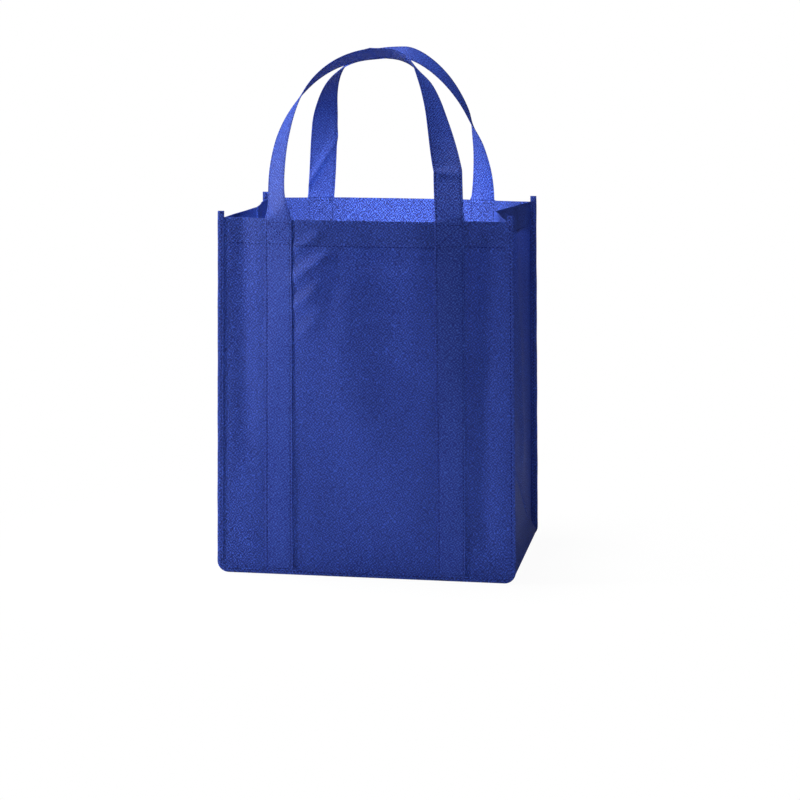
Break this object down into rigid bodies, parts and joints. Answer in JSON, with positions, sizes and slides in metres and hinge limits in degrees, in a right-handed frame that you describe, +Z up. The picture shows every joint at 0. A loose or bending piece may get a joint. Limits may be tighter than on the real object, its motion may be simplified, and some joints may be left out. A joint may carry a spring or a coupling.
{
  "type": "non-woven tote bag",
  "caption": "Open-topped grocery tote in plain blue non-woven cloth, with folded side gussets, taped seams, strap handles that run down to the base and a stiff base board.",
  "frame": {"origin": "on the ground under the middle of the bag", "axes": "+Z up through the mouth, +X to the right along the front panel, -Y out of the front panel"},
  "size_m": [0.3246, 0.2469, 0.5603],
  "materials": {
    "bag_cloth": "point-bonded non-woven, soft sheen",
    "strap_cloth": "point-bonded non-woven, doubled",
    "binding_tape": "point-bonded non-woven tape",
    "board": "fine grain",
    "thread": "spun polyester sewing thread"
  },
  "bodies": {
    "root": {"front_panel": "bag_cloth", "back_panel": "bag_cloth", "gusset_and_base": "bag_cloth", "front_binding": "binding_tape", "back_binding": "binding_tape", "front_handle": "strap_cloth", "back_handle": "strap_cloth", "base_board": "board"}
  },
  "joints": []
}
